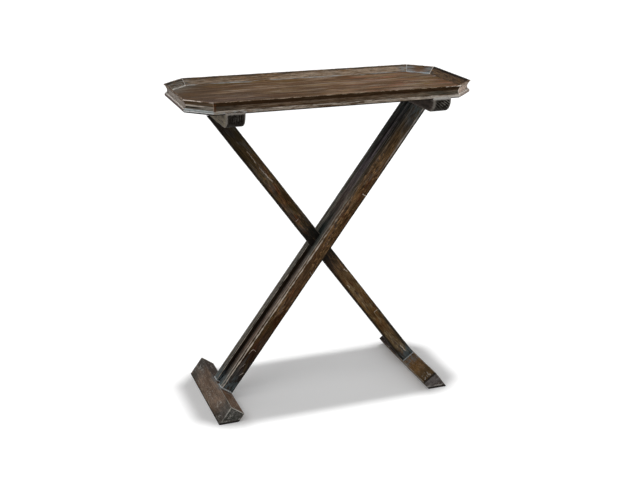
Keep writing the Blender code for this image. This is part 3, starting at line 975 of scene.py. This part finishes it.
    # The pair's arrises take pale bare wood where rubbed; the through rail's take its edge colour, painted
    # dark as shade.
    for one_side, other_side, amount, share in arrises:
        line = plus(calc("MAXIMUM", one_side, other_side), ragged)
        wash(oak, both(between(line, edge_width, 0.0003), share, amount), look["edge"])
    upper_share = between(along, 0.16, 0.26, 0.0, 0.0 if shaded else 0.85)
    low_edge = both(on_face, band(below, 0.0042, 0.0058, 0.001), upper_share)
    dab(oak, low_edge, (0.05, 0.006, 0.36, 0.5), (0.34, 0.312, 0.28))
    # painted shade: a dark line along the rail's lower arris, which faces down
    low_edge_width = 0.0058 if shaded else 0.0034
    wash(oak, both(between(below, low_edge_width, 0.002), 0.85), (0.014, 0.011, 0.008))
    for *spot, amount in look["marks"]:
        wash(oak, both(on_face, mark(oak, along, rise, *spot), amount), BARE)
    joint = plus(plus(along, FOOT_JOINT), ragged)
    wash(oak, between(joint, 0.0036, 0.0022, 0.0, 0.9), (0.64, 0.68, 0.69))
    return seal(oak, 0.4)


front_tones = (
    (-0.35, (0.055, 0.058, 0.062)),
    (-0.31, (0.048, 0.04, 0.037)),
    (-0.275, (0.028, 0.014, 0.008)),
    (-0.225, (0.066, 0.04, 0.027)),
    (-0.175, (0.04, 0.016, 0.005)),
    (-0.125, (0.112, 0.065, 0.036)),
    (0.0, (0.11, 0.061, 0.029)),
    (0.18, (0.112, 0.063, 0.031)),
    (0.265, (0.112, 0.072, 0.044)),
    (0.31, (0.092, 0.08, 0.068)),
    (0.39, (0.088, 0.09, 0.086)),
)
# Tones on the front rail's upper face; the near-black stops towards the top are painted shade under the
# tray.
front_upper_tones = (
    (-0.35, (0.07, 0.082, 0.086)),
    (-0.31, (0.1, 0.092, 0.082)),
    (-0.24, (0.16, 0.108, 0.082)),
    (-0.07, (0.156, 0.11, 0.087)),
    (0.0, (0.088, 0.098, 0.09)),
    (0.07, (0.15, 0.12, 0.104)),
    (0.15, (0.09, 0.068, 0.046)),
    (0.22, (0.036, 0.025, 0.012)),
    (0.265, (0.014, 0.01, 0.007)),
    (0.315, (0.008, 0.007, 0.006)),
    (0.39, (0.04, 0.045, 0.045)),
)
rear_upper_tones = (
    (-0.35, (0.07, 0.078, 0.076)),
    (-0.31, (0.15, 0.146, 0.132)),
    (-0.24, (0.15, 0.142, 0.122)),
    (0.0, (0.144, 0.136, 0.115)),
    (0.1, (0.082, 0.082, 0.072)),
    (0.2, (0.04, 0.044, 0.04)),
    (0.3, (0.03, 0.037, 0.037)),
    (0.39, (0.036, 0.044, 0.046)),
)
# Tones along the through rail; the dark stops just below and above the crossing are painted shade where it
# leaves the gap between the pair.
through_tones = (
    (-0.35, (0.074, 0.074, 0.07)),
    (-0.31, (0.165, 0.112, 0.062)),
    (-0.235, (0.19, 0.11, 0.044)),
    (-0.19, (0.152, 0.078, 0.027)),
    (-0.13, (0.155, 0.092, 0.039)),
    (-0.08, (0.13, 0.082, 0.042)),
    (-0.05, (0.078, 0.052, 0.037)),
    (-0.025, (0.04, 0.032, 0.026)),
    (0.028, (0.012, 0.011, 0.009)),
    (0.05, (0.05, 0.04, 0.031)),
    (0.085, (0.07, 0.05, 0.033)),
    (0.12, (0.06, 0.032, 0.012)),
    (0.18, (0.105, 0.07, 0.036)),
    (0.245, (0.044, 0.028, 0.016)),
    (0.3, (0.042, 0.032, 0.024)),
    (0.39, (0.042, 0.034, 0.028)),
)
front_marks = (
    (0.1332, -0.0098, 0.006, 0.0011, 94, 0.95),
    (-0.254, 0.0036, 0.007, 0.0008, -12, 0.6),
    (-0.2482, -0.0018, 0.005, 0.0008, -86, 0.6),
    (-0.304, -0.0068, 0.0065, 0.0009, -32, 0.8),
    (-0.288, 0.001, 0.009, 0.0007, -20, 0.35),
    (-0.056, -0.009, 0.005, 0.0009, 60, 0.45),
)
through_marks = (
    (-0.3208, 0.0026, 0.013, 0.001, -5, 0.95),
    (0.24, 0.0025, 0.019, 0.0009, 2, 0.6),
    (0.199, 0.0028, 0.019, 0.001, -4, 0.7),
    (0.18, 0.004, 0.01, 0.0016, -8, 0.45),
    (0.0756, -0.0042, 0.0046, 0.001, 86, 0.6),
    (-0.082, 0.0096, 0.0062, 0.001, -18, 0.85),
    (-0.1157, -0.0062, 0.0058, 0.0009, -10, 0.7),
    (-0.204, 0.0064, 0.0054, 0.001, 94, 0.75),
)
rail_looks = {
    "leg_front_rail": dict(
        lean=1, chamfer=FRONT_CHAMFER, face=front_tones, upper=front_upper_tones, gap_side=1,
        flecks=0.85, marks=front_marks, shaded=False, edge=BARE,
    ),
    "leg_rear_rail": dict(
        lean=1, chamfer=0, face=front_tones, upper=rear_upper_tones, gap_side=-1, flecks=0.6,
        marks=(), shaded=False, edge=BARE,
    ),
    # The through rail's edge colour is painted shade on its arrises.
    "leg_through_rail": dict(
        lean=-1, chamfer=0, face=through_tones, upper=through_tones, gap_side=0, flecks=0.65,
        marks=through_marks, shaded=True, edge=(0.022, 0.016, 0.011),
    ),
}
for rail_name, rail_look in rail_looks.items():
    bar = rail(f"{rail_name}_bar", rail_name, rail_look["lean"], rail_look["chamfer"])
    if rail_name == "leg_rear_rail":
        rail_low, rail_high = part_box(rail_name)
        cut_out(
            bar,
            bpy.ops.mesh.primitive_cylinder_add,
            vertices=BORE_SIDES,
            radius=PIN_HOLE,
            depth=2 * (rail_high.y - rail_low.y),
            location=(0, (rail_low.y + rail_high.y) / 2, CROSSING),
            rotation=(math.radians(90), 0, 0),
        )
    hang_on_frame(bar, rail_name, leg_stain(f"{rail_name}_stain", rail_name, rail_look))


# Feet: a bar under each leg end, in line with the leg's slope and sawn flat where it stands.
# They are a little wider than the rails and the most knocked about, with end grain at both ends.
FOOT_WIDTH = 0.0325
FOOT_SIDE = FOOT_WIDTH / 2
FOOT_HALF = 0.117
FOOT_ARRIS = 0.0014
FOOT_BLANK = 0.08
FOOT_GAP = 0.0003
FOOT_SOLE = 0.001
FOOT_TONES = ((0.76, 0.72, 0.68), (1.0, 1.0, 1.0), (1.2, 1.2, 1.2))
FOOT_STREAK = (0.09, 0.014)
SCRATCHED = (0.52, 0.49, 0.445)
SHADOWED = (0.01, 0.008, 0.007)


def foot(name, solid, lean):
    """A floor bar sawn flat at the floor, its arrises taken off, planed and knocked."""
    low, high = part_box(solid)
    piece = leg_blank(name, solid, lean, FOOT_WIDTH, FOOT_BLANK, -FOOT_JOINT - FOOT_GAP - FOOT_BLANK / 2)
    bpy.ops.object.mode_set(mode="EDIT")
    saw((0, 0, 0), (0, 0, -1))
    ease(piece, shown_sharp, FOOT_ARRIS, 2)
    score(Vector((0, 1, 0)), low.y, high.y, 70)
    score(Vector((0, 0, 1)), low.z, high.z, 10)
    bpy.ops.object.mode_set(mode="OBJECT")
    mark_out(piece, "shown", lambda point: float(point.co.z > FOOT_SOLE))
    hand_work(piece, "planing", 0.04, 0.0008, "shown")
    hand_work(piece, "knocks", 0.006, 0.0004, "shown")
    smooth(piece, SMOOTH_ANGLE)
    return piece


def scratches(oak, turn, length, amount):
    """Thin pale lines that run one way across a piece, here and there."""
    lines = figure(turned_place(oak.place, (0, 0, 0), turn), (1 / length, 650, 650), 1.0, 0.5)
    return both(between(lines, 0.6, 0.65), patches(oak, 0.03, 0.012, 0.54, 0.62, amount))


def foot_stain(name, look):
    """Oak rubbed dull on its outer side, with grey end grain, pale arrises, scratches and dust, and painted
    contact shadow along its bottom.
    """
    oak = stained_oak(name, (0, 0, 0), GRAIN_TO_BACK, FOOT_TONES, FOOT_STREAK)
    x, y, z = parts_of(oak.place)
    climb = less(z, CROSSING)
    sideways = both(x, look["lean"])
    along = plus(both(sideways, LEG_SINE), both(climb, LEG_COSINE))
    rise = less(both(climb, LEG_SINE), both(sideways, LEG_COSINE))
    below_joint = less(-FOOT_JOINT, along)
    end = inside_of(y, FOOT_HALF)
    on_side = between(rise, FOOT_SIDE - 0.0022, FOOT_SIDE - 0.001)
    on_end = between(end, 0.0022, 0.001)
    tone = tint(on_side, look["top"], look["side"])
    grey = both(between(end, 0.07, 0.02), patches(oak, 0.08, 0.03, 0.3, 0.5, 0.9))
    grey = both(grey, between(on_side, 0.0, 1.0, look["ends_on_top"], 1.0))
    tone = tint(grey, tone, look["near_ends"])
    tone = tint(both(on_end, 0.95), tone, look["end"])
    wash(oak, 1.0, tone, "MULTIPLY")
    on_top = between(below_joint, 0.0022, 0.001)
    far_top = both(on_top, between(y, 0.0, 0.03), look["far_share"])
    dab(oak, far_top, (0.05, 0.02, 0.25, 0.45), look["far_top"])
    dab(oak, 1.0, (0.05, 0.018, 0.52, 0.66, 0.45), (0.052, 0.04, 0.032))
    dab(oak, 1.0, (0.007, 0.005, 0.6, 0.66, 0.4), (0.36, 0.31, 0.26))
    one_way = scratches(oak, (0, 0, math.radians(55)), 0.03, 0.85)
    other_way = scratches(oak, (0, math.radians(30), math.radians(115)), 0.04, 0.7)
    wash(oak, both(calc("MAXIMUM", one_way, other_way), look["scratched"]), SCRATCHED)
    rings = figure(oak.place, (110, 20, 110), 3.0, 0.65, 0.5)
    wash(oak, both(on_end, between(rings, 0.48, 0.62, 0.0, 0.4)), (0.2, 0.19, 0.178))
    from_leg = less(unsigned(plus(y, 0.005)), 0.026)
    near_leg = both(between(from_leg, 0.014, 0.0), between(below_joint, 0.01, 0.0))
    dab(oak, near_leg, (0.012, 0.005, 0.42, 0.58, 0.65), (0.17, 0.19, 0.2))
    arris = nearest_two(inside_of(rise, FOOT_SIDE), below_joint, z, end)[1]
    rubbed = between(plus(arris, frayed(oak, (110, 200, 200), 0.0032)), 0.0018, 0.0005)
    off_floor = between(z, 0.003, 0.008, 0.1, 1.0)
    low_side = both(on_side, between(z, 0.032, 0.008, 0.0, 0.75))
    rubbed_share = both(less(0.8, low_side), between(y, -0.03, 0.02, 1.0, 0.45))
    wash(oak, both(rubbed, off_floor, rubbed_share), (0.44, 0.41, 0.36))
    end_arris = both(between(arris, 0.0017, 0.0008), between(end, 0.004, 0.0024))
    end_share = both(between(on_side, 0.0, 0.5, 0.8, 0.45), rest_of(low_side))
    wash(oak, both(end_arris, off_floor, end_share), look["end_edge"])
    end_line = both(on_top, between(end, 0.0062, 0.0036), look["end_shade"])
    wash(oak, end_line, (0.016, 0.012, 0.009))
    over = {"side": along, "top": rise}[look["marked"]]
    off_end = rest_of(on_end)
    for *spot, amount in look["marks"]:
        wash(oak, both(mark(oak, over, y, *spot), off_end, amount), SCRATCHED)
    low_line = both(on_end, band(z, 0.0056, 0.0074, 0.0008))
    dab(oak, low_line, (0.02, 0.012, 0.44, 0.54, 0.75), (0.42, 0.4, 0.37))
    # painted contact shadow: the bottom of the end face and of the whole foot, where it meets the floor
    wash(oak, both(on_end, between(z, 0.0048, 0.003, 0.0, 0.92)), SHADOWED)
    wash(oak, between(z, 0.0026, 0.0014, 0.0, 0.9), SHADOWED)
    return seal(oak, 0.22)


left_foot_marks = (
    (-0.364, 0.096, 0.007, 0.001, 30, 0.7),
    (-0.372, -0.062, 0.008, 0.001, 60, 0.65),
    (-0.366, -0.07, 0.006, 0.0009, -40, 0.6),
    (-0.376, -0.03, 0.006, 0.0009, 75, 0.55),
    (-0.378, 0.04, 0.005, 0.001, 20, 0.5),
)
right_foot_marks = (
    (0.0037, -0.1, 0.008, 0.0011, 84, 0.85),
    (0.0056, -0.108, 0.004, 0.0012, 80, 0.8),
    (-0.0073, -0.107, 0.005, 0.0012, 64, 0.85),
    (-0.001, -0.105, 0.005, 0.0008, 75, 0.45),
)
foot_looks = {
    "foot_left": dict(
        lean=1, side=(0.22, 0.157, 0.116), top=(0.165, 0.098, 0.06), end=(0.058, 0.06, 0.053),
        near_ends=(0.082, 0.079, 0.073), ends_on_top=0.25, end_edge=(0.56, 0.535, 0.49),
        end_shade=0.0, far_top=(0.034, 0.024, 0.019), far_share=0.85, scratched=1.0, marked="side",
        marks=left_foot_marks,
    ),
    "foot_right": dict(
        lean=-1, side=(0.12, 0.085, 0.06), top=(0.2, 0.112, 0.046), end=(0.122, 0.108, 0.106),
        near_ends=(0.112, 0.072, 0.034), ends_on_top=1.0, end_edge=(0.03, 0.026, 0.024),
        end_shade=0.85, far_top=(0.018, 0.013, 0.014), far_share=0.92, scratched=0.25, marked="top",
        marks=right_foot_marks,
    ),
}
for foot_name, foot_look in foot_looks.items():
    bar = foot(f"{foot_name}_bar", foot_name, foot_look["lean"])
    hang_on_frame(bar, foot_name, foot_stain(f"{foot_name}_stain", foot_look))


# Pin, dowels and screws: turned hardwood rods glued into bored holes, and slotted steel screws
# under the battens. All but the pin's back end and the screw heads are hidden in the wood,
# so the solids themselves are shown.
ROD_TONES = ((0.33, 0.205, 0.11), (0.45, 0.31, 0.185), (0.56, 0.42, 0.28))
ROD_STREAK = (0.02, 0.0012)
STEEL_TONES = ((0.26, 0.25, 0.235), (0.42, 0.405, 0.38), (0.52, 0.505, 0.48))
STEEL_STREAK = (0.003, 0.0006)


def bare_rod(name, turn):
    """Bare hardwood with its grain along the rod and a little glue in it."""
    oak = stained_oak(name, (0, 0, CROSSING), turn, ROD_TONES, ROD_STREAK)
    dab(oak, 1.0, (0.006, 0.003, 0.54, 0.64, 0.6), (0.21, 0.12, 0.058))
    return seal(oak, 0.25, relief=0.0002)


def worn_steel(name):
    """Grey steel, brushed by the driver and spotted with rust."""
    steel = stained_oak(name, (0, 0, 0), (0, 0, 0), STEEL_TONES, STEEL_STREAK)
    rust = patches(steel, 0.0022, 0.0022, 0.54, 0.62, 0.8)
    wash(steel, rust, (0.19, 0.078, 0.03))
    feed(steel.shader.inputs["Metallic"], rest_of(rust))
    return seal(steel, 0.15, (0.32, 0.55), 0.0001)


slope = math.radians(90) - LEG_TILT
fastenings = (
    (bare_rod("pin_oak", GRAIN_TO_BACK), ("crossing_pin",)),
    (bare_rod("batten_dowel_oak", (0, math.radians(-90), 0)), ("batten_inner", "batten_outer")),
    (bare_rod("left_foot_dowel_oak", (0, -slope, 0)), ("front_rail_foot", "rear_rail_foot")),
    (bare_rod("right_foot_dowel_oak", (0, slope, 0)), ("through_rail_foot",)),
    (worn_steel("screw_steel_worn"), ("screw_",)),
)
for solid_name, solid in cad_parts.items():
    for material, words in fastenings:
        if any(word in solid_name for word in words):
            solid.data.materials.clear()
            solid.data.materials.append(material)


# Floor: a plain pale ground the table stands on, nearly white to the eye and greyer to bounced light.
# It is a matt sheet with a faint glow of its own, and it takes the shadow of the tray and the feet.
FLOOR_SIZE = 40.0
FLOOR_SEEN = 0.985
FLOOR_BOUNCE = 0.52
FLOOR_GLOW = 0.085


def seen_straight(tree):
    """1 for rays from the eye, a mirror or glass, and 0 for bounced light."""
    rays = node(tree, "LightPath").outputs
    seen = calc("MAXIMUM", rays["Is Camera Ray"], rays["Is Glossy Ray"])
    return calc("MAXIMUM", seen, rays["Is Transmission Ray"])


ground = blank("ground", bpy.ops.mesh.primitive_plane_add, size=FLOOR_SIZE, location=(0, 0, 0))
ground_material = bpy.data.materials.new("ground_white")
ground_material.use_nodes = True
ground_tree = ground_material.node_tree
ground_tree.nodes.clear()
ground_seen = seen_straight(ground_tree)
ground_colour = tint(ground_seen, (FLOOR_BOUNCE,) * 3, (FLOOR_SEEN,) * 3)
ground_matt = node(ground_tree, "BsdfDiffuse", ground_colour)
ground_glow = node(ground_tree, "Emission")
feed(ground_glow.inputs["Strength"], both(ground_seen, FLOOR_GLOW))
ground_sum = node(ground_tree, "AddShader", ground_matt.outputs[0], ground_glow.outputs[0])
node(ground_tree, "OutputMaterial", ground_sum.outputs[0])
ground.data.materials.append(ground_material)


# Light: a soft even surround, and one small high lamp that drops the tray's shadow.
# Two broad far lamps shape the wood, one at the left and one low at the right.
SURROUND = 0.32
WHITE = (1.0, 1.0, 1.0, 1.0)


def heading(azimuth, elevation):
    """A direction by its turn from the Y axis and its rise from the level, in degrees."""
    turn = math.radians(azimuth)
    rise = math.radians(elevation)
    return Vector((math.sin(turn) * math.cos(rise), math.cos(turn) * math.cos(rise), math.sin(rise)))


def lamp(name, strength, spread, height, azimuth):
    """A far lamp of some apparent width, at a height above the horizon, from an azimuth round the table."""
    source = bpy.data.lights.new(name, "SUN")
    source.energy = strength * math.pi
    source.angle = math.radians(spread)
    holder = bpy.data.objects.new(name, source)
    bpy.context.scene.collection.objects.link(holder)
    holder.rotation_mode = "QUATERNION"
    holder.rotation_quaternion = heading(-azimuth, -height).to_track_quat("-Z", "Y")


lamp("high_lamp", strength=0.54, spread=3.2, height=89.4, azimuth=180.0)
lamp("left_lamp", strength=0.22, spread=50.0, height=42.0, azimuth=-55.0)
lamp("right_lamp", strength=0.22, spread=60.0, height=15.0, azimuth=80.0)
studio = bpy.data.worlds.new("studio")
studio.use_nodes = True
bpy.context.scene.world = studio
studio.node_tree.nodes.clear()
surround_level = calc("MULTIPLY_ADD", seen_straight(studio.node_tree), 1.0 - SURROUND, SURROUND)
surround_light = node(studio.node_tree, "Background", WHITE, surround_level)
node(studio.node_tree, "OutputWorld", surround_light.outputs[0])


# Camera: a little above the tray, in front and to the left of the table.
# Its place, turn and lens are the ones that the photograph's edges were fitted with.
CAMERA_PLACE = Vector((-0.68918, -1.85241, 1.01575))
CAMERA_YAW = 19.82
CAMERA_PITCH = -19.3
CAMERA_ROLL = math.radians(0.17)
CAMERA_SENSOR = 36.0
CAMERA_LENS = 58.55
CAMERA_SHIFT = (0.01917, -0.00725)
CAMERA_FAR = 100.0

eye = bpy.data.cameras.new("eye")
eye.sensor_width = CAMERA_SENSOR
eye.lens = CAMERA_LENS
eye.shift_x, eye.shift_y = CAMERA_SHIFT
eye.clip_end = CAMERA_FAR
stand = bpy.data.objects.new("eye", eye)
bpy.context.scene.collection.objects.link(stand)
ahead = heading(CAMERA_YAW, CAMERA_PITCH)
rightward = heading(CAMERA_YAW + 90, 0)
upward = rightward.cross(ahead)
facing = Matrix((rightward, upward, -ahead)).transposed().to_4x4()
stand.matrix_world = Matrix.Translation(CAMERA_PLACE) @ facing @ Matrix.Rotation(CAMERA_ROLL, 4, "Z")
bpy.context.scene.camera = stand
bpy.context.scene.view_settings.view_transform = "Standard"
